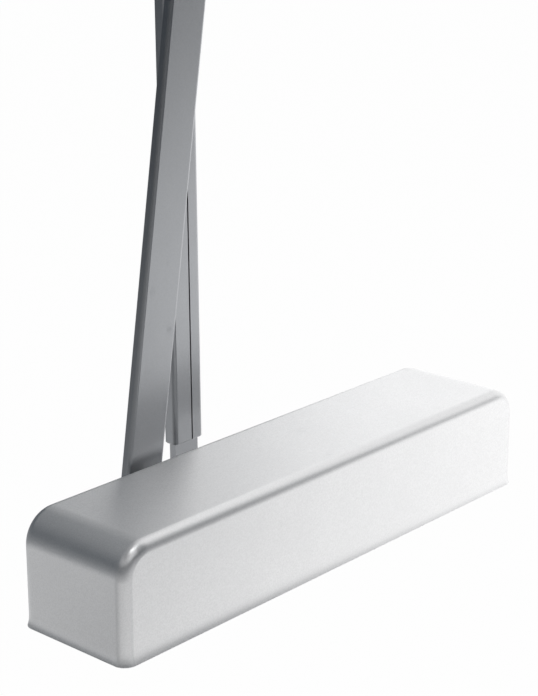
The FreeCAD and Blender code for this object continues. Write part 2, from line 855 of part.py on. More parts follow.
def forearm_eye():
    """Forged eye with a tang that fills the upper end of the tube."""
    eye = rod_y(eye_radius, tube_front, tube_back)
    half = tube_width / 2
    shoulder = forearm_section(half, tube_depth / 2, tube_corner_radius, tube_start())
    eye = eye.fuse(shoulder.extrude(V(0, 0, eye_shoulder)))
    tang_x = half - tube_wall - tang_fit
    tang_y = tube_depth / 2 - tube_wall - tang_fit
    low = tube_start() - tang_length
    tang = block(-tang_x, tang_x, tube_middle - tang_y, tube_middle + tang_y, low, tube_start())
    eye = eye.fuse(tang)
    eye = eye.cut(rod_y(elbow_pin_radius + elbow_bush_fit + elbow_bush_wall, tube_front, tube_back))
    for place in eye_rivet_places():
        eye = eye.cut(rod_y(eye_rivet_radius, tube_front, tube_back, 0, place))
    return on_elbow(eye.removeSplitter())


def eye_rivets():
    rivets = []
    for place in eye_rivet_places():
        rivet = rod_y(eye_rivet_radius, tube_front, tube_back, 0, place)
        rivet = rivet.fuse(rod_y(eye_rivet_head_radius, tube_front - eye_rivet_head, tube_front, 0, place))
        rivet = rivet.fuse(rod_y(eye_rivet_head_radius, tube_back, tube_back + eye_rivet_head, 0, place))
        rivets.append(on_elbow(rivet.removeSplitter()))
    return Part.makeCompound(rivets)


def clamp_z():
    return -tube_end + clamp_inset


def clamp_nut():
    nut = hexagon(clamp_nut_across, V(0, tube_back, clamp_z()), V(0, 1, 0), clamp_nut_height)
    return on_elbow(nut.cut(rod_y(clamp_screw_radius, tube_back, tube_back + clamp_nut_height, 0, clamp_z())))


def clamp_screw():
    start = tube_middle + rod_thickness / 2 + clamp_screw_gap
    end = tube_back + clamp_nut_height + clamp_screw_proud
    screw = rod_y(clamp_screw_radius, start, end, 0, clamp_z())
    socket = hexagon(clamp_socket_across, V(0, end, clamp_z()), V(0, -1, 0), clamp_socket_depth)
    return on_elbow(screw.cut(socket))


def forearm_rod():
    """Flat rod that slides in the tube and carries the shoe at its eye."""
    half_x = rod_width / 2
    low_y = tube_middle - rod_thickness / 2
    high_y = tube_middle + rod_thickness / 2
    rod = block(-half_x, half_x, low_y, high_y, -rod_reach, -tube_end + rod_engaged)
    rod = rod.fuse(rod_y(rod_eye_radius, low_y, high_y, 0, -rod_reach))
    rod = rod.cut(rod_y(shoe_pin_radius + shoe_pin_fit + shoe_bush_wall, low_y, high_y, 0, -rod_reach))
    return on_elbow(rod.removeSplitter())


def shoe_bush():
    inner = shoe_pin_radius + shoe_pin_fit
    low_y = tube_middle - rod_thickness / 2
    return ring_y(inner + shoe_bush_wall, inner, low_y, low_y + rod_thickness, shoe_x, shoe_pivot_height)


def ear_start():
    return tube_middle + rod_thickness / 2 + ear_gap


def ear(low_y):
    """Lug of the shoe with a round head about the pivot and sides that spread to its foot."""
    spread = math.atan2(ear_foot_width / 2 - ear_radius, shoe_pivot_height - shoe_thickness)
    side_x = ear_radius * math.cos(spread)
    side_z = shoe_pivot_height + ear_radius * math.sin(spread)
    foot = ear_foot_width / 2
    left = V(shoe_x - side_x, low_y, side_z)
    right = V(shoe_x + side_x, low_y, side_z)
    crown = Part.Arc(left, V(shoe_x, low_y, shoe_pivot_height + ear_radius), right)
    outline = Part.Wire(
        [
            crown.toShape(),
            Part.makeLine(right, V(shoe_x + foot, low_y, shoe_thickness)),
            Part.makeLine(V(shoe_x + foot, low_y, shoe_thickness), V(shoe_x - foot, low_y, shoe_thickness)),
            Part.makeLine(V(shoe_x - foot, low_y, shoe_thickness), left),
        ]
    )
    return Part.Face(outline).extrude(V(0, ear_thickness, 0))


def shoe():
    """Bracket with a screw plate and two ears round the rod's eye."""
    outline = rounded_rectangle(shoe_length / 2, shoe_width / 2, shoe_corner_radius, 0)
    outline.translate(V(shoe_x, tube_middle + shoe_offset_y, 0))
    plate = Part.Face(outline).extrude(V(0, 0, shoe_thickness))
    far = ear_start()
    near = 2 * tube_middle - far - ear_thickness
    body = plate.multiFuse([ear(far), ear(near)])
    body = body.cut(rod_y(shoe_pin_radius, near, far + ear_thickness, shoe_x, shoe_pivot_height))
    for side in (-1, 1):
        x = shoe_x + side * shoe_hole_spacing / 2
        body = body.cut(rod_z(shoe_hole_radius, 0, shoe_thickness, x, tube_middle + shoe_offset_y))
    return body.removeSplitter()


def shoe_clip_start():
    return 2 * tube_middle - ear_start() - ear_thickness - shoe_clip_thickness


def shoe_pin():
    """Pivot pin, headed on the outer ear and clipped at the inner one."""
    head = ear_start() + ear_thickness
    start = shoe_clip_start()
    pin = rod_y(shoe_pin_radius, start - shoe_pin_tail, head, shoe_x, shoe_pivot_height)
    pin = pin.fuse(rod_y(shoe_pin_head_radius, head, head + shoe_pin_head, shoe_x, shoe_pivot_height))
    neck = shoe_pin_radius - shoe_clip_groove
    groove = ring_y(shoe_pin_radius, neck, start, start + shoe_clip_thickness, shoe_x, shoe_pivot_height)
    return pin.cut(groove).removeSplitter()


def shoe_clip():
    neck = shoe_pin_radius - shoe_clip_groove
    start = shoe_clip_start()
    return snap_clip(shoe_clip_radius, neck, neck, start, shoe_clip_thickness, shoe_x, shoe_pivot_height)


def pieces():
    """Every piece of the closer by its name."""
    return {
        "cover": cover(),
        "cover_clips": both_ends(cover_clip()),
        "clip_rivets": both_ends(clip_rivet()),
        "body_casting": body_casting(),
        "passage_plug": passage_plug(),
        "latch_needle": needle(latch_needle_x),
        "sweep_needle": needle(sweep_needle_x),
        "backcheck_needle": needle(backcheck_needle_x),
        "head_end_plug": head_end_plug(),
        "head_plug_seal": plug_seal(head_groove_x()),
        "spring_end_plug": spring_end_plug(),
        "spring_plug_seal": plug_seal(spring_groove_x()),
        "spring_adjuster": spring_adjuster(),
        "spring_seat": spring_seat(),
        "main_spring": main_spring(),
        "piston": piston(),
        "piston_ring": piston_ring(),
        "check_ball": check_ball(),
        "ball_retainer": ball_retainer(),
        "pinion_shaft": pinion_shaft(),
        "arm_side_bearing": shaft_bearing(1),
        "blind_side_bearing": shaft_bearing(-1),
        "shaft_seals": both_sides(shaft_seal),
        "gland_nuts": both_sides(gland_nut),
        "main_arm": main_arm(),
        "arm_washer": arm_washer(),
        "arm_screw": arm_screw(),
        "elbow_pin": elbow_pin(),
        "elbow_spacer": elbow_spacer(),
        "elbow_bush": elbow_bush(),
        "elbow_washer": elbow_washer(),
        "elbow_clip": elbow_clip(),
        "forearm_tube": forearm_tube(),
        "forearm_eye": forearm_eye(),
        "eye_rivets": eye_rivets(),
        "clamp_nut": clamp_nut(),
        "clamp_screw": clamp_screw(),
        "forearm_rod": forearm_rod(),
        "shoe": shoe(),
        "shoe_bush": shoe_bush(),
        "shoe_pin": shoe_pin(),
        "shoe_clip": shoe_clip(),
    }


os.makedirs("parts", exist_ok=True)
for name, shape in pieces().items():
    shape.exportStep(f"parts/{name}.step")
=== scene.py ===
"""Looks of a surface door closer: finishes, the bent cover, the closing spring and a white studio."""

import json
import math

import bmesh
import bpy
from bpy.props import FloatProperty, FloatVectorProperty, IntProperty, PointerProperty
from bpy.types import Operator, Panel, PropertyGroup
from mathutils import Matrix, Vector
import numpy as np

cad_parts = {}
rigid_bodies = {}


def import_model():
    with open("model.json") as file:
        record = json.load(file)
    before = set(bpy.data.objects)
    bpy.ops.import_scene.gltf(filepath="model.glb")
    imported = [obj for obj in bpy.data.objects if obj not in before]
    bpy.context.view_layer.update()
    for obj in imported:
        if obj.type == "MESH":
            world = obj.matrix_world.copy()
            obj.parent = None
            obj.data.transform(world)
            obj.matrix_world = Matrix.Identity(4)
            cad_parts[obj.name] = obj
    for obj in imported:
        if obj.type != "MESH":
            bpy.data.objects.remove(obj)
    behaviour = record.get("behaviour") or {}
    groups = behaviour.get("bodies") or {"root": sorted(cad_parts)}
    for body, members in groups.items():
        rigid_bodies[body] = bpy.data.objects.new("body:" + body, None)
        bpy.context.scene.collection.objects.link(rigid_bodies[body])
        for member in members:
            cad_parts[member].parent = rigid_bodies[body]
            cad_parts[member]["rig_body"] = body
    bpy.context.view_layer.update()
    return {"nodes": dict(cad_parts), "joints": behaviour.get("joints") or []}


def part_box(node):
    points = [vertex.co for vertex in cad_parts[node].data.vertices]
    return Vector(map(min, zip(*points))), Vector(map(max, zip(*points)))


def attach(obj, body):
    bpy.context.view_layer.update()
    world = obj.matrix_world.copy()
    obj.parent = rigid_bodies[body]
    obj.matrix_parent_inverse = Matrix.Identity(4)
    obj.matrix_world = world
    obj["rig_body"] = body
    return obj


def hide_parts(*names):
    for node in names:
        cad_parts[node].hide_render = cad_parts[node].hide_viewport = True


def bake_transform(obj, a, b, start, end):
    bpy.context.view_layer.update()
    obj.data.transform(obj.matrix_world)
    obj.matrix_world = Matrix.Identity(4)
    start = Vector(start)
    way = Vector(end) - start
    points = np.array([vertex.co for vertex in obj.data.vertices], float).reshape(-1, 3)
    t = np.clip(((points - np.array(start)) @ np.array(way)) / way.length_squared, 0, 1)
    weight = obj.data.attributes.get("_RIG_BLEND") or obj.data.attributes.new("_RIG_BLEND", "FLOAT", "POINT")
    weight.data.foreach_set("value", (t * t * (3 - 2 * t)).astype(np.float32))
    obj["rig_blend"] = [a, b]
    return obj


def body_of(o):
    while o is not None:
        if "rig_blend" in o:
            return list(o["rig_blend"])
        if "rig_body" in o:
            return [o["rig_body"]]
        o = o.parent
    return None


bl_info = {
    "name": "Surface Door Closer",
    "version": (1, 0, 0),
    "blender": (4, 5, 0),
    "location": "View3D > Sidebar > Door Closer",
    "description": "Dresses a packed door closer with its finishes and a studio",
    "category": "Object",
}

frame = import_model()
COVER_LOW, COVER_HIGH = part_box("cover")

PAINTED_ARMS = ("main_arm", "forearm_tube", "forearm_eye", "forearm_rod", "shoe")
TURNED_STEEL = (
    "pinion_shaft", "arm_washer", "arm_screw", "elbow_pin", "elbow_spacer", "elbow_washer",
    "eye_rivets", "clamp_nut", "clamp_screw", "shoe_pin", "head_end_plug", "spring_end_plug",
    "spring_adjuster", "spring_seat", "piston", "check_ball", "ball_retainer",
    "arm_side_bearing", "blind_side_bearing", "gland_nuts", "passage_plug", "clip_rivets",
)
SPRING_STEEL = ("cover_clips", "elbow_clip", "shoe_clip")
BRASS_PIECES = ("latch_needle", "sweep_needle", "backcheck_needle", "elbow_bush", "shoe_bush")
SEALS = ("head_plug_seal", "spring_plug_seal", "shaft_seals")
PLASTIC_RINGS = ("piston_ring",)

# Mesh work: distances that count as none, and angles that count as sharp
SAME_HEIGHT = 1e-5
WELD_DISTANCE = 0.000002
CUT_DISTANCE = 1e-7
ROUND_ANGLE = math.radians(35)
SHARP_ANGLE = math.radians(40)
ROUND_STEPS = 2

# Rounds on the pieces' edges
COVER_ROUND = 0.0003
CASTING_ROUND = 0.0005
STEEL_ROUND = 0.0002
CLIP_ROUND = 0.0001
BRASS_ROUND = 0.00015
MOULDED_ROUND = 0.0002

# Cover: shares of the rim's height where its curl is divided, how fast it curls, and the notch's head
RIM_CUTS = (1.0, 0.7, 0.5, 0.35, 0.22, 0.1)
RIM_POWER = 3
NOTCH_STEPS = 24

# Satin paint: what clouding, rubbed dirt and flakes do to its colour and its roughness
CLOUD_SHARE, CLOUD_SHADE, CLOUD_ROUGHNESS = 0.5, 0.95, 0.06
RUB_SHARE, RUB_SHADE, RUB_ROUGHNESS = 0.20, 0.85, 0.08
FLAKE_ROUGHNESS = 0.08
COVER_GRAIN, ARM_GRAIN = 0.00004, 0.000014

# Dust on the flat top of the cover: where it starts and is full, below the top, and its roughness
DUST_START, DUST_FULL = 0.0015, 0.0002
DUST_ROUGHNESS = 0.13

# Cast iron
IRON_DARK, IRON_LIGHT = 0.7, 1.15
IRON_METAL = 0.6
IRON_GRAIN = 0.00018
PATCH_SHARE, PATCH_ROUGHNESS = 0.4, 0.2

# Turned metal
STAIN_SHARE, STAIN_SHADE, STAIN_ROUGHNESS = 0.5, 0.72, 0.08
MARK_DEPTH, MARK_ROUGHNESS = 0.000012, 0.12

# Rubber and plastic
BLOOM_DARK, BLOOM_LIGHT, BLOOM_ROUGHNESS = 0.8, 1.2, 0.15
MOULD_GRAIN = 0.00004

# Lens
SENSOR_WIDTH = 36.0
FARTHEST = 100.0

# Floor and surround: share of white, and of their own light
FLOOR_WHITE, FLOOR_GLOW = 0.95, 0.95
ROOM_LIGHT = 0.8

# Lamps
KEY_PLACE, KEY_TARGET = (-0.32, -0.48, 1.7), (-0.12, 0.0, 0.05)
FILL_PLACE, FILL_TARGET = (1.6, 0.9, 1.5), (0.0, 0.0, 0.1)

# Studio cards round the closer
CARD_LIFT = 0.005
CARD_LEFT, CARD_RIGHT, CARD_TOP = -2.6, 2.2, 2.2
BACK_Y, FRONT_Y, SIDE_X = 0.75, -0.6, 2.3
FRONT_LEFT, FRONT_RIGHT, FRONT_TOP = -0.1, 2.6, 1.6
LOW_LEFT, LOW_NEAR, LOW_RIGHT = -2.1, -2.1, 1.5
SIDE_NEAR, SIDE_TOP = -1.5, 3.6
TOP_NEAR = -1.6
WALL_RADIUS, WALL_TOP = 2.0, 1.25
WALL_START, WALL_SWEEP = math.radians(157), math.radians(128)
WALL_STEPS = 32


def joint_place(name):
    """Place of a hinge at rest."""
    found = next(joint for joint in frame["joints"] if joint["name"] == name)
    return Vector(found["pos_m"])


def length(name, description, default):
    return FloatProperty(
        name=name, description=description, default=default, min=0.0, precision=4, unit="LENGTH"
    )


def angle(name, description, degrees):
    return FloatProperty(
        name=name, description=description, default=math.radians(degrees), subtype="ANGLE"
    )


def colour(name, description, default):
    return FloatVectorProperty(
        name=name, description=description, default=default, min=0.0, max=1.0, size=3, subtype="COLOR"
    )


def factor(name, description, default):
    return FloatProperty(
        name=name, description=description, default=default, min=0.0, max=1.0, subtype="FACTOR"
    )


def power(name, description, default):
    return FloatProperty(name=name, description=description, default=default, min=0.0, unit="POWER")


def glow(name, description, default):
    return FloatProperty(name=name, description=description, default=default, min=0.0)


class CoverSettings(PropertyGroup):
    """Sizes of the bent cover."""

    end_radius: length("End radius", "Radius of the bend at each end of the cover", 0.0172)
    edge_radius: length("Edge radius", "Radius along the cover's long sides", 0.006)
    flare: length("Rim curl", "How far the rim curls out", 0.001)
    flare_height: length("Rim height", "Height of the curl above the rim", 0.0075)
    wall: length("Wall", "Thickness of the sheet", 0.002)
    notch_radius: length("Notch radius", "Half width of the notch for the shaft", 0.0096)
    segments: IntProperty(name="Segments", description="Steps round each end bend", default=24, min=4)


class SpringSettings(PropertyGroup):
    """Sizes of the closing spring's coil."""

    wire: length("Wire", "Width of the square wire", 0.0044)
    turns: FloatProperty(name="Turns", description="Turns of the whole coil", default=9.0, min=1.0)
    steps: IntProperty(name="Steps", description="Steps in each turn", default=24, min=8)
    piston_share: factor("Piston share", "Share of the coil that gives way with the piston", 0.75)


class FinishSettings(PropertyGroup):
    """Colours and roughness of the finishes."""

    silver: colour("Cover silver", "Colour of the cover's satin silver", (0.975, 0.975, 0.978))
    silver_gloss: factor("Cover roughness", "Roughness of the cover's satin silver", 0.40)
    silver_speckle: factor("Cover speckle", "How much darker the cover's flakes are", 0.12)
    arm_silver: colour("Arm silver", "Colour of the painted arms", (0.47, 0.48, 0.497))
    arm_gloss: factor("Arm roughness", "Roughness of the painted arms", 0.32)
    arm_speckle: factor("Arm speckle", "How much darker the arms' flakes are", 0.08)
    casting: colour("Casting", "Colour of the iron casting", (0.20, 0.20, 0.205))
    casting_patches: colour("Casting patches", "Colour of the casting's stains", (0.16, 0.12, 0.09))
    casting_gloss: factor("Casting roughness", "Least roughness of the casting", 0.55)
    steel: colour("Steel", "Colour of turned steel", (0.55, 0.55, 0.56))
    steel_gloss: factor("Steel roughness", "Roughness of turned steel", 0.30)
    spring: colour("Spring steel", "Colour of oiled spring steel", (0.25, 0.25, 0.27))
    spring_gloss: factor("Spring roughness", "Roughness of oiled spring steel", 0.36)
    brass: colour("Brass", "Colour of turned brass", (0.72, 0.54, 0.26))
    brass_gloss: factor("Brass roughness", "Roughness of turned brass", 0.28)
    rubber: colour("Rubber", "Colour of the seals", (0.025, 0.025, 0.027))
    rubber_gloss: factor("Rubber roughness", "Least roughness of the seals", 0.6)
    plastic: colour("Ring plastic", "Colour of the piston ring", (0.72, 0.69, 0.60))
    plastic_gloss: factor("Plastic roughness", "Least roughness of the piston ring", 0.45)


class StageSettings(PropertyGroup):
    """Camera, floor, lamps and cards."""

    lens: FloatProperty(
        name="Lens", description="Focal length in millimetres", default=95.95, min=1.0, unit="CAMERA"
    )
    camera_place: FloatVectorProperty(
        name="Camera",
        description="Place of the camera",
        default=(-0.6843, -0.5941, 0.4024),
        subtype="TRANSLATION",
    )
    camera_yaw: angle("Yaw", "Turn of the view from +Y towards +X", 48.35)
    camera_pitch: angle("Pitch", "Downward tilt of the view", 17.8)
    floor_drop: length("Floor drop", "Depth of the floor below the mounting plane", 0.42)
    floor_size: length("Floor size", "Width of the floor", 24.0)
    key_size: length("Key size", "Width of the key lamp", 0.22)
    key_power: power("Key power", "Power of the key lamp", 2.6)
    fill_size: length("Fill size", "Width of the fill lamp", 1.0)
    fill_power: power("Fill power", "Power of the fill lamp", 1.0)
    back_glow: glow("Back glow", "Light of the back card", 1.55)
    front_glow: glow("Front glow", "Light of the front card", 1.20)
    white: colour("Studio white", "Colour of the floor and the studio", (1.0, 1.0, 1.0))
    dark: colour("Card dark", "Colour of the dark part of the studio cards", (0.027, 0.034, 0.042))


class Value:
    """A socket of a finish that Python's operators work on."""

    def __init__(self, finish, socket):
        self.finish = finish
        self.socket = socket

    def combine(self, operation, first, second):
        return self.finish.node("ShaderNodeMath", {"operation": operation}, {0: first, 1: second})[0]

    def __add__(self, other):
        return self.combine("ADD", self, other)

    __radd__ = __add__

    def __sub__(self, other):
        return self.combine("SUBTRACT", self, other)

    def __rsub__(self, other):
        return self.combine("SUBTRACT", other, self)

    def __mul__(self, other):
        return self.combine("MULTIPLY", self, other)

    __rmul__ = __mul__


class Finish:
    """One node tree, of a material or of the world."""

    def __init__(self, owner):
        owner.use_nodes = True
        self.owner = owner
        self.tree = owner.node_tree
        self.tree.nodes.clear()

    def node(self, kind, settings=None, inputs=None):
        """Adds a node, sets it up, fills or links its sockets and returns its outputs."""
        made = self.tree.nodes.new(kind)
        for name, setting in (settings or {}).items():
            setattr(made, name, setting)
        for name, entry in (inputs or {}).items():
            socket = made.inputs[name]
            if isinstance(entry, Value):
                self.tree.links.new(entry.socket, socket)
            else:
                socket.default_value = entry
        return [Value(self, socket) for socket in made.outputs]

    def place(self):
        """Object coordinates of the point that is shaded."""
        return self.node("ShaderNodeTexCoord")[3]

    def axes(self):
        """The point's x, y and z."""
        return self.node("ShaderNodeSeparateXYZ", {}, {0: self.place()})

    def noise(self, scale, detail, rough):
        """Noise over the piece, from 0 to 1."""
        sockets = {"Vector": self.place(), "Scale": scale, "Detail": detail, "Roughness": rough}
        return self.node("ShaderNodeTexNoise", {}, sockets)[0]

    def band(self, value, low, high):
        """0 below low, 1 above high and smooth between."""
        settings = {"interpolation_type": "SMOOTHSTEP", "clamp": True}
        sockets = {"Value": value, "From Min": low, "From Max": high}
        return self.node("ShaderNodeMapRange", settings, sockets)[0]

    def greater(self, first, second):
        return self.node("ShaderNodeMath", {"operation": "MAXIMUM"}, {0: first, 1: second})[0]

    def mix(self, share, first, second):
        """Blend of two colours."""
        return self.node("ShaderNodeMix", {"data_type": "RGBA"}, {0: share, 6: first, 7: second})[2]

    def bump(self, height, depth):
        return self.node("ShaderNodeBump", {}, {"Height": height, "Distance": depth, "Strength": 1.0})[0]

    def principled(self, base, roughness, normal, metallic=0.0):
        """Ends the tree in a Principled surface."""
        sockets = {"Base Color": base, "Roughness": roughness, "Metallic": metallic, "Normal": normal}
        self.surface(self.node("ShaderNodeBsdfPrincipled", {}, sockets)[0])

    def surface(self, shader):
        self.node("ShaderNodeOutputMaterial", {}, {"Surface": shader})


def opaque(rgb, level=1.0):
    return (rgb[0] * level, rgb[1] * level, rgb[2] * level, 1.0)


def satin_paint(name, rgb, gloss, speckle, grain, dusty=None):
    """Satin metallic paint: fine flakes, soft clouding, a little rubbed dirt, and dust at a height."""
    paint = Finish(bpy.data.materials.new(name))
    flakes = paint.noise(scale=1500.0, detail=2.0, rough=0.6)
    ripple = paint.noise(scale=700.0, detail=3.0, rough=0.5)
    cloud = paint.noise(scale=26.0, detail=4.0, rough=0.55)
    rub = paint.band(paint.noise(scale=140.0, detail=5.0, rough=0.65), low=0.60, high=0.78)
    shade = paint.band(flakes, low=0.30, high=0.70)
    base = paint.mix(shade, opaque(rgb, 1.0 - speckle), opaque(rgb))
    base = paint.mix(cloud * CLOUD_SHARE, base, opaque(rgb, CLOUD_SHADE))
    base = paint.mix(rub * RUB_SHARE, base, opaque(rgb, RUB_SHADE))
    roughness = gloss + (cloud - 0.5) * CLOUD_ROUGHNESS + rub * RUB_ROUGHNESS
    roughness = roughness + (flakes - 0.5) * FLAKE_ROUGHNESS
    if dusty:
        height = paint.axes()[2]
        dust = paint.band(height, low=dusty - DUST_START, high=dusty - DUST_FULL)
        roughness = roughness + dust * DUST_ROUGHNESS
    normal = paint.bump(flakes * 0.5 + ripple * 0.5, grain)
    paint.principled(base, roughness, normal, metallic=1.0)
    return paint.owner


def cast_iron(name, rgb, patch_rgb, gloss):
    """Grey iron with a sand-cast skin and a few stained patches."""
    iron = Finish(bpy.data.materials.new(name))
    grains = iron.noise(scale=900.0, detail=4.0, rough=0.6)
    patches = iron.noise(scale=35.0, detail=4.0, rough=0.6)
    stained = iron.band(patches, low=0.55, high=0.75)
    base = iron.mix(grains, opaque(rgb, IRON_DARK), opaque(rgb, IRON_LIGHT))
    base = iron.mix(stained * PATCH_SHARE, base, opaque(patch_rgb))
    normal = iron.bump(grains, IRON_GRAIN)
    iron.principled(base, gloss + patches * PATCH_ROUGHNESS, normal, metallic=IRON_METAL)
    return iron.owner


def turned_metal(name, rgb, gloss):
    """Machined metal with fine tool marks and handling stains."""
    metal = Finish(bpy.data.materials.new(name))
    marks = metal.noise(scale=2600.0, detail=2.0, rough=0.5)
    stains = metal.noise(scale=120.0, detail=4.0, rough=0.6)
    stained = metal.band(stains, low=0.45, high=0.75)
    base = metal.mix(stained * STAIN_SHARE, opaque(rgb), opaque(rgb, STAIN_SHADE))
    roughness = gloss + (marks - 0.5) * MARK_ROUGHNESS + stains * STAIN_ROUGHNESS
    metal.principled(base, roughness, metal.bump(marks, MARK_DEPTH), metallic=1.0)
    return metal.owner


def moulded(name, rgb, gloss):
    """Rubber or plastic with a dull moulded skin."""
    skin = Finish(bpy.data.materials.new(name))
    grain = skin.noise(scale=1500.0, detail=3.0, rough=0.5)
    bloom = skin.noise(scale=90.0, detail=4.0, rough=0.6)
    base = skin.mix(bloom, opaque(rgb, BLOOM_DARK), opaque(rgb, BLOOM_LIGHT))
    skin.principled(base, gloss + bloom * BLOOM_ROUGHNESS, skin.bump(grain, MOULD_GRAIN))
    return skin.owner


def give(piece, material):
    piece.data.materials.clear()
    piece.data.materials.append(material)


def soften_edges(piece, width):
    """Small rounds on a piece's sharp edges, and normals that keep its flats flat."""
    bevel = piece.modifiers.new("Edge rounds", "BEVEL")
    bevel.width = width
    bevel.segments = ROUND_STEPS
    bevel.limit_method = "ANGLE"
    bevel.angle_limit = ROUND_ANGLE
    bevel.use_clamp_overlap = True
    bevel.material = -1
    normals = piece.modifiers.new("Normals", "WEIGHTED_NORMAL")
    normals.keep_sharp = True


def dress(nodes, material, width):
    """Gives CAD nodes a finish and small edge rounds."""
    for name in nodes:
        node = frame["nodes"][name]
        give(node, material)
        weld = node.modifiers.new("Weld", "WELD")
        weld.merge_threshold = WELD_DISTANCE
        soften_edges(node, width)


def new_object(name, bm):
    """Turns a finished bmesh into an object of the scene."""
    mesh = bpy.data.meshes.new(name)
    bm.to_mesh(mesh)
    bm.free()
    made = bpy.data.objects.new(name, mesh)
    bpy.context.scene.collection.objects.link(made)
    return made


def new_piece(name, bm, material):
    """Turns a finished bmesh into a piece with a finish."""
    piece = new_object(name, bm)
    for polygon in piece.data.polygons:
        polygon.use_smooth = True
    piece.data.set_sharp_from_angle(angle=SHARP_ANGLE)
    give(piece, material)
    return piece


def within(value, limit):
    return max(-limit, min(limit, value))


def last_vert(turned):
    """Vertex at the end of a spin."""
    return next(item for item in turned["geom_last"] if isinstance(item, bmesh.types.BMVert))


class CLOSER_OT_cover(Operator):
    """Builds the clip-on cover as a bent shell with a curled rim and a notch for the shaft"""

    bl_idname = "closer.cover"
    bl_label = "Cover"

    def execute(self, context):
        size = context.scene.closer_cover
        finish = context.scene.closer_finish
        bm = bmesh.new()
        for inset in (0.0, size.wall):
            skin = self.skin(size, inset)
            bm.from_mesh(skin)
            bpy.data.meshes.remove(skin)
        rims = [edge for edge in bm.edges if edge.is_boundary]
        bmesh.ops.bridge_loops(bm, edges=rims)
        bmesh.ops.recalc_face_normals(bm, faces=bm.faces)
        silver = satin_paint(
            "Cover satin silver",
            finish.silver,
            finish.silver_gloss,
            finish.silver_speckle,
            COVER_GRAIN,
            dusty=COVER_HIGH.z,
        )
        cover = new_piece("cover_shell", bm, silver)
        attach(cover, "cover_body")
        soften_edges(cover, COVER_ROUND)
        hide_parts("cover")
        return {"FINISHED"}

    def skin(self, size, inset):
        """One face of the sheet, a given depth below its outside."""
        half_x = COVER_HIGH.x - size.flare - inset
        half_y = COVER_HIGH.y - size.flare - inset
        low, high = COVER_LOW.z, COVER_HIGH.z - inset
        bend = size.end_radius - inset
        soft = size.edge_radius - inset
        core_x, core_z = half_x - bend, high - bend
        steps = size.segments // 2
        turns = [math.pi / 2 * step / steps for step in range(steps + 1)]
        rows = [(soft * (1 - math.sin(turn)), soft * (1 - math.cos(turn)) - half_y) for turn in turns]
        rows += [(depth, -y) for depth, y in reversed(rows)]
        bm = bmesh.new()
        edges = self.outline(bm, core_x, core_z, bend, low, size.segments)
        last_depth = 0.0
        for number, (depth, y) in enumerate(rows):
            if number:
                edges = self.extrude(bm, edges)
            for vert in {vert for edge in edges for vert in edge.verts}:
                core = Vector((within(vert.co.x, core_x), vert.co.y, min(core_z, vert.co.z)))
                vert.co += (vert.co - core).normalized() * (last_depth - depth)
                vert.co.y = y
            if not number:
                bmesh.ops.edgeloop_fill(bm, edges=edges + [bm.edges.new(self.feet(edges, low))])
            last_depth = depth
        self.cut_notch(bm, edges, half_y, low, size.notch_radius)
        self.curl_rim(bm, half_x - soft, half_y - soft, low, size)
        mesh = bpy.data.meshes.new("cover_skin")
        bm.to_mesh(mesh)
        bm.free()
        return mesh

    def outline(self, bm, core_x, core_z, bend, low, segments):
        """Side view of the sheet: up one end, along the top and down the other end."""
        left = bm.verts.new((-core_x - bend, 0, core_z))
        right = bm.verts.new((core_x, 0, core_z + bend))
        tips = []
        for start, centre in ((left, -core_x), (right, core_x)):
            turned = bmesh.ops.spin(
                bm, geom=[start], cent=(centre, 0, core_z), axis=(0, 1, 0),
                angle=math.pi / 2, steps=segments, use_merge=False,
            )
            tips.append(last_vert(turned))
        bm.edges.new((bm.verts.new((-core_x - bend, 0, low)), left))
        bm.edges.new((tips[0], right))
        bm.edges.new((tips[1], bm.verts.new((core_x + bend, 0, low))))
        return list(bm.edges)

    def feet(self, edges, low):
        """Ends of a row of edges, down at the rim."""
        return [vert for edge in edges for vert in edge.verts if abs(vert.co.z - low) < SAME_HEIGHT]

    def extrude(self, bm, edges):
        """Copies a row of edges, joined to the row by faces."""
        made = bmesh.ops.extrude_edge_only(bm, edges=edges)["geom"]
        fresh = {item for item in made if isinstance(item, bmesh.types.BMVert)}
        return [edge for edge in bm.edges if edge.verts[0] in fresh and edge.verts[1] in fresh]

    def cut_notch(self, bm, outline, half_y, low, radius):
        """Fills the back wall, with a notch for the shaft from the rim to a round head."""
        shaft = joint_place("arm_swing")
        feet = self.feet(outline, low)
        left = min(feet, key=lambda vert: vert.co.x)
        right = max(feet, key=lambda vert: vert.co.x)
        start = bm.verts.new((shaft.x - radius, half_y, shaft.z))
        turned = bmesh.ops.spin(
            bm, geom=[start], cent=(shaft.x, half_y, shaft.z), axis=(0, 1, 0),
            angle=math.pi, steps=NOTCH_STEPS, use_merge=False,
        )
        end = last_vert(turned)
        arch = [edge for edge in bm.edges if edge.is_wire]
        left_foot = bm.verts.new((shaft.x - radius, half_y, low))
        right_foot = bm.verts.new((shaft.x + radius, half_y, low))
        for pair in ((left, left_foot), (left_foot, start), (end, right_foot), (right_foot, right)):
            arch.append(bm.edges.new(pair))
        bmesh.ops.edgeloop_fill(bm, edges=outline + arch)

    def curl_rim(self, bm, core_x, core_y, low, size):
        """Bends the last of the wall outwards, more towards the rim."""
        for share in RIM_CUTS:
            everything = list(bm.verts) + list(bm.edges) + list(bm.faces)
            place = (0, 0, low + share * size.flare_height)
            bmesh.ops.bisect_plane(
                bm, geom=everything, dist=CUT_DISTANCE, plane_co=place, plane_no=(0, 0, 1)
            )
        for vert in bm.verts:
            depth = 1.0 - (vert.co.z - low) / size.flare_height
            if depth > 0.0:
                inner = Vector((within(vert.co.x, core_x), within(vert.co.y, core_y), vert.co.z))
                vert.co += (vert.co - inner).normalized() * size.flare * depth**RIM_POWER


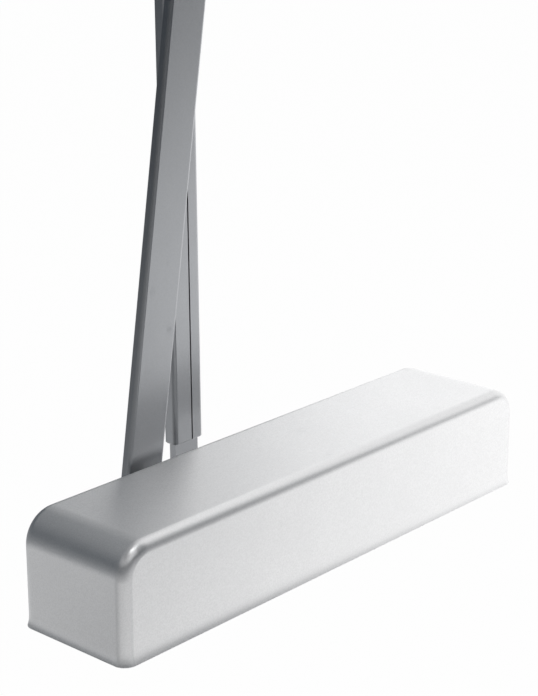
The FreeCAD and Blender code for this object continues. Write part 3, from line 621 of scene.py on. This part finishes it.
class CLOSER_OT_arms(Operator):
    """Paints the main arm, the forearm, its rod and the shoe"""

    bl_idname = "closer.arms"
    bl_label = "Arms"

    def execute(self, context):
        finish = context.scene.closer_finish
        paint = satin_paint(
            "Arm satin silver", finish.arm_silver, finish.arm_gloss, finish.arm_speckle, ARM_GRAIN
        )
        for name in PAINTED_ARMS:
            give(frame["nodes"][name], paint)
        return {"FINISHED"}


class CLOSER_OT_mechanism(Operator):
    """Gives the casting, the fasteners and the working parts their metals, and winds the spring"""

    bl_idname = "closer.mechanism"
    bl_label = "Mechanism"

    def execute(self, context):
        finish = context.scene.closer_finish
        iron = cast_iron("Cast iron", finish.casting, finish.casting_patches, finish.casting_gloss)
        steel = turned_metal("Turned steel", finish.steel, finish.steel_gloss)
        spring_steel = turned_metal("Spring steel", finish.spring, finish.spring_gloss)
        brass = turned_metal("Turned brass", finish.brass, finish.brass_gloss)
        rubber = moulded("Seal rubber", finish.rubber, finish.rubber_gloss)
        plastic = moulded("Ring plastic", finish.plastic, finish.plastic_gloss)
        dress(("body_casting",), iron, CASTING_ROUND)
        dress(TURNED_STEEL, steel, STEEL_ROUND)
        dress(SPRING_STEEL, spring_steel, CLIP_ROUND)
        dress(BRASS_PIECES, brass, BRASS_ROUND)
        dress(SEALS, rubber, MOULDED_ROUND)
        dress(PLASTIC_RINGS, plastic, MOULDED_ROUND)
        self.spring(context.scene.closer_spring, spring_steel)
        return {"FINISHED"}

    def spring(self, size, steel):
        """Closing spring in two lengths: one gives way with the piston, the other with the spring seat."""
        casting, piston, seat = (
            body_of(frame["nodes"][name])[0] for name in ("body_casting", "piston", "spring_seat")
        )
        self.coil("spring_at_piston", size, 0.0, size.piston_share, (piston, casting), steel)
        self.coil("spring_at_seat", size, size.piston_share, 1.0, (casting, seat), steel)

    def coil(self, name, size, first, last, bodies, steel):
        """Square wire wound between two shares of the spring's length."""
        low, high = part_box("main_spring")
        middle = (low + high) / 2
        half = size.wire / 2
        mean = (high.z - low.z) / 2 - half
        reach = high.x - low.x - size.wire
        start = low.x + half + reach * first
        end = low.x + half + reach * last
        bm = bmesh.new()
        corners = ((-half, -half), (half, -half), (half, half), (-half, half))
        wire = [bm.verts.new((start + x, middle.y, middle.z - mean + z)) for x, z in corners]
        face = bm.faces.new(wire)
        bmesh.ops.rotate(
            bm, verts=wire, cent=middle, matrix=Matrix.Rotation(math.tau * size.turns * first, 3, "X")
        )
        turns = size.turns * (last - first)
        steps = round(size.steps * turns)
        loop = [*wire, *face.edges, face]
        bmesh.ops.spin(
            bm, geom=loop, cent=middle, axis=(1, 0, 0), dvec=((end - start) / steps, 0, 0),
            angle=math.tau * turns, steps=steps, use_merge=False, use_duplicate=False,
        )
        bmesh.ops.recalc_face_normals(bm, faces=bm.faces)
        piece = new_piece(name, bm, steel)
        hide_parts("main_spring")
        bend_start = (start + size.wire, middle.y, middle.z)
        bend_end = (end - size.wire, middle.y, middle.z)
        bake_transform(piece, *bodies, bend_start, bend_end)


class CLOSER_OT_stage(Operator):
    """Sets up the camera, the white floor and surround, the lamps and the cards"""

    bl_idname = "closer.stage"
    bl_label = "Studio"

    def execute(self, context):
        stage = context.scene.closer_stage
        self.camera(context, stage)
        self.floor(stage)
        self.world(context, stage)
        self.lamp("Key", KEY_PLACE, KEY_TARGET, stage.key_size, stage.key_power)
        self.lamp("Fill", FILL_PLACE, FILL_TARGET, stage.fill_size, stage.fill_power)
        self.cards(stage)
        context.scene.view_settings.view_transform = "Standard"
        return {"FINISHED"}

    def camera(self, context, stage):
        data = bpy.data.cameras.new("Photo camera")
        data.lens = stage.lens
        data.sensor_width = SENSOR_WIDTH
        data.clip_end = FARTHEST
        camera = bpy.data.objects.new("Photo camera", data)
        camera.location = stage.camera_place
        camera.rotation_euler = (math.pi / 2 - stage.camera_pitch, 0.0, -stage.camera_yaw)
        context.scene.collection.objects.link(camera)
        context.scene.camera = camera

    def floor(self, stage):
        """White floor that shows its colour to the lens and to gloss, and is lit for everything else."""
        bm = bmesh.new()
        bmesh.ops.create_grid(bm, x_segments=1, y_segments=1, size=stage.floor_size / 2)
        bmesh.ops.translate(bm, vec=(0, 0, -stage.floor_drop), verts=bm.verts)
        floor = new_object("floor", bm)
        white = Finish(bpy.data.materials.new("Floor white"))
        share = self.seen(white) * FLOOR_GLOW
        plain = white.node("ShaderNodeBsdfDiffuse", {}, {"Color": opaque(stage.white, FLOOR_WHITE)})[0]
        bright = white.node("ShaderNodeEmission", {}, {"Color": opaque(stage.white), "Strength": 1.0})[0]
        white.surface(white.node("ShaderNodeMixShader", {}, {0: share, 1: plain, 2: bright})[0])
        give(floor, white.owner)

    def seen(self, finish):
        """1 for rays of the lens, of gloss and through glass."""
        rays = finish.node("ShaderNodeLightPath")
        lens, gloss, glass = rays[0], rays[3], rays[6]
        total = lens + gloss + glass
        return finish.node("ShaderNodeMath", {"operation": "MINIMUM"}, {0: total, 1: 1.0})[0]

    def world(self, context, stage):
        """White surround at a plain level."""
        world = bpy.data.worlds.new("Studio")
        context.scene.world = world
        air = Finish(world)
        strength = ROOM_LIGHT + self.seen(air) * (1.0 - ROOM_LIGHT)
        sockets = {"Color": opaque(stage.white), "Strength": strength}
        light = air.node("ShaderNodeBackground", {}, sockets)[0]
        air.node("ShaderNodeOutputWorld", {}, {"Surface": light})

    def lamp(self, name, place, target, size, power):
        data = bpy.data.lights.new(name, "AREA")
        data.shape = "SQUARE"
        data.size = size
        data.energy = power
        lamp = bpy.data.objects.new(name, data)
        lamp.location = place
        lamp.rotation_euler = (Vector(target) - Vector(place)).to_track_quat("-Z", "Y").to_euler()
        lamp.visible_camera = False
        bpy.context.scene.collection.objects.link(lamp)

    def cards(self, stage):
        """Graded cards behind, in front, below, to the right and above, and a bow on the lens's side."""
        low = CARD_LIFT - stage.floor_drop
        back = (CARD_LEFT, BACK_Y, low), (CARD_RIGHT, BACK_Y, CARD_TOP)
        front = (FRONT_LEFT, FRONT_Y, low), (FRONT_RIGHT, FRONT_Y, FRONT_TOP)
        below = (LOW_LEFT, LOW_NEAR, low), (LOW_RIGHT, BACK_Y, low)
        right = (SIDE_X, SIDE_NEAR, low), (SIDE_X, BACK_Y, SIDE_TOP)
        above = (CARD_LEFT, TOP_NEAR, CARD_TOP), (CARD_RIGHT, BACK_Y, CARD_TOP)
        self.card("back_card", stage, self.back_shade, back, stage.back_glow)
        self.card("front_card", stage, self.front_shade, front, stage.front_glow)
        self.card("low_card", stage, self.low_shade, below)
        self.card("right_card", stage, self.right_shade, right)
        self.card("top_card", stage, self.top_shade, above)
        self.wall("lens_wall", stage, self.wall_shade, low)

    def card(self, name, stage, shade, corners, strength=1.0):
        """Card between two corners, upright or flat."""
        low, high = (Vector(corner) for corner in corners)
        span = high - low
        bm = bmesh.new()
        bmesh.ops.create_grid(bm, x_segments=1, y_segments=1, size=0.5)
        if span.z:
            upright = Matrix.Rotation(math.pi / 2, 3, "X" if span.x else "Y")
            bmesh.ops.rotate(bm, matrix=upright, verts=bm.verts)
        bmesh.ops.scale(bm, vec=span, verts=bm.verts)
        bmesh.ops.translate(bm, vec=(low + high) / 2, verts=bm.verts)
        self.hang(name, bm, stage, shade, strength)

    def wall(self, name, stage, shade, low):
        """Card that stands in a bow."""
        start = Matrix.Rotation(WALL_START, 4, "Z") @ Vector((WALL_RADIUS, 0, low))
        bm = bmesh.new()
        foot = bm.verts.new(start)
        top = bm.verts.new((start.x, start.y, WALL_TOP))
        edge = bm.edges.new((foot, top))
        bmesh.ops.spin(
            bm, geom=[foot, top, edge], cent=(0, 0, 0), axis=(0, 0, 1),
            angle=WALL_SWEEP, steps=WALL_STEPS, use_merge=False,
        )
        self.hang(name, bm, stage, shade)

    def hang(self, name, bm, stage, shade, strength=1.0):
        """Makes a card of a bmesh, with a graded glow that only the metal's reflections see."""
        card = new_object(name, bm)
        cloth = Finish(bpy.data.materials.new(name))
        tone = cloth.mix(shade(cloth, *cloth.axes()), opaque(stage.dark), opaque(stage.white))
        cloth.surface(cloth.node("ShaderNodeEmission", {}, {"Color": tone, "Strength": strength})[0])
        give(card, cloth.owner)
        card.visible_camera = False
        card.visible_diffuse = False
        card.visible_shadow = False

    def back_shade(self, cloth, x, y, z):
        """White to the right, grey along the floor, darkest above that and lighter again near the top."""
        floor_grey, first_drop, second_drop, top_grey = 0.49, 0.40, 0.08, 0.15
        far_loss, high_loss = 0.15, 0.45
        low = floor_grey - cloth.band(z, -0.39, -0.11) * first_drop
        low = low - cloth.band(z, 0.06, 0.32) * second_drop
        high = cloth.band(z, 0.45, 0.9) * top_grey
        right = cloth.band(x, 0.63, 0.87) * (1.0 - cloth.band(x, 0.95, 1.4) * far_loss)
        right = right * (1.0 - cloth.band(z, 0.9, 1.7) * high_loss)
        return cloth.greater(cloth.greater(low, high), right)

    def front_shade(self, cloth, x, y, z):
        """Light along the floor, lighter to the right, and dark above but for a grey part at the right."""
        floor_grey, fade_depth = 0.46, 0.95
        left_drop, right_rise = 0.34, 0.10
        upper_grey, upper_rise = 0.39, 0.36
        low = floor_grey + cloth.band(x, 0.24, 0.60) * (1.0 - floor_grey)
        left = cloth.band(x, 0.05, 0.22) * (1.0 - cloth.band(x, 0.38, 0.58))
        height = z + left * left_drop - cloth.band(x, 0.68, 0.95) * right_rise
        fade = 1.0 - cloth.band(height, -0.04, 0.20) * fade_depth
        upper = cloth.band(x, 0.40, 0.75) * (upper_grey + cloth.band(z, 0.3, 0.5) * upper_rise)
        return cloth.greater(upper, low * fade)

    def low_shade(self, cloth, x, y, z):
        """Grey near the closer, dark further out on the lens's side and white to the right."""
        near_grey, middle_drop, back_rise = 0.70, 0.40, 0.48
        far_grey, far_rise = 0.10, 0.25
        near = near_grey - cloth.band(y, -0.35, 0.5) * middle_drop + cloth.band(y, 0.60, 0.78) * back_rise
        far = far_grey + cloth.band(x, -0.9, -0.4) * far_rise
        out = cloth.band(x * x + y * y, 1.6, 2.4)
        return cloth.greater(cloth.band(x, -0.2, 0.5), near + (far - near) * out)

    def top_shade(self, cloth, x, y, z):
        """Dark on the left and white to the right."""
        left_grey = 0.15
        return left_grey + cloth.band(x, -0.3, 1.2) * (1.0 - left_grey)

    def right_shade(self, cloth, x, y, z):
        """White, and greyer high up."""
        high_loss = 0.75
        return 1.0 - cloth.band(z, 1.4, 2.8) * high_loss

    def wall_shade(self, cloth, x, y, z):
        """Dark, and a little lighter along the floor behind the lens."""
        dark_grey, floor_rise = 0.03, 0.32
        return (1.0 - cloth.band(z, -0.05, 0.3)) * floor_rise + dark_grey


class CLOSER_PT_sidebar(Panel):
    """Lists the closer's pieces and their settings"""

    bl_idname = "CLOSER_PT_sidebar"
    bl_label = "Door Closer"
    bl_space_type = "VIEW_3D"
    bl_region_type = "UI"
    bl_category = "Door Closer"

    def draw(self, context):
        for operator in OPERATORS:
            self.layout.operator(operator.bl_idname)
        for name, group in SETTINGS.items():
            box = self.layout.box()
            for key in group.__annotations__:
                box.prop(getattr(context.scene, name), key)


SETTINGS = {
    "closer_cover": CoverSettings,
    "closer_spring": SpringSettings,
    "closer_finish": FinishSettings,
    "closer_stage": StageSettings,
}
OPERATORS = (CLOSER_OT_cover, CLOSER_OT_arms, CLOSER_OT_mechanism, CLOSER_OT_stage)
CLASSES = (*SETTINGS.values(), *OPERATORS, CLOSER_PT_sidebar)


def register():
    for entry in CLASSES:
        bpy.utils.register_class(entry)
    for name, group in SETTINGS.items():
        setattr(bpy.types.Scene, name, PointerProperty(type=group))


def unregister():
    for name in SETTINGS:
        delattr(bpy.types.Scene, name)
    for entry in reversed(CLASSES):
        bpy.utils.unregister_class(entry)


def main():
    register()
    bpy.ops.closer.cover()
    bpy.ops.closer.arms()
    bpy.ops.closer.mechanism()
    bpy.ops.closer.stage()


if __name__ == "__main__":
    main()
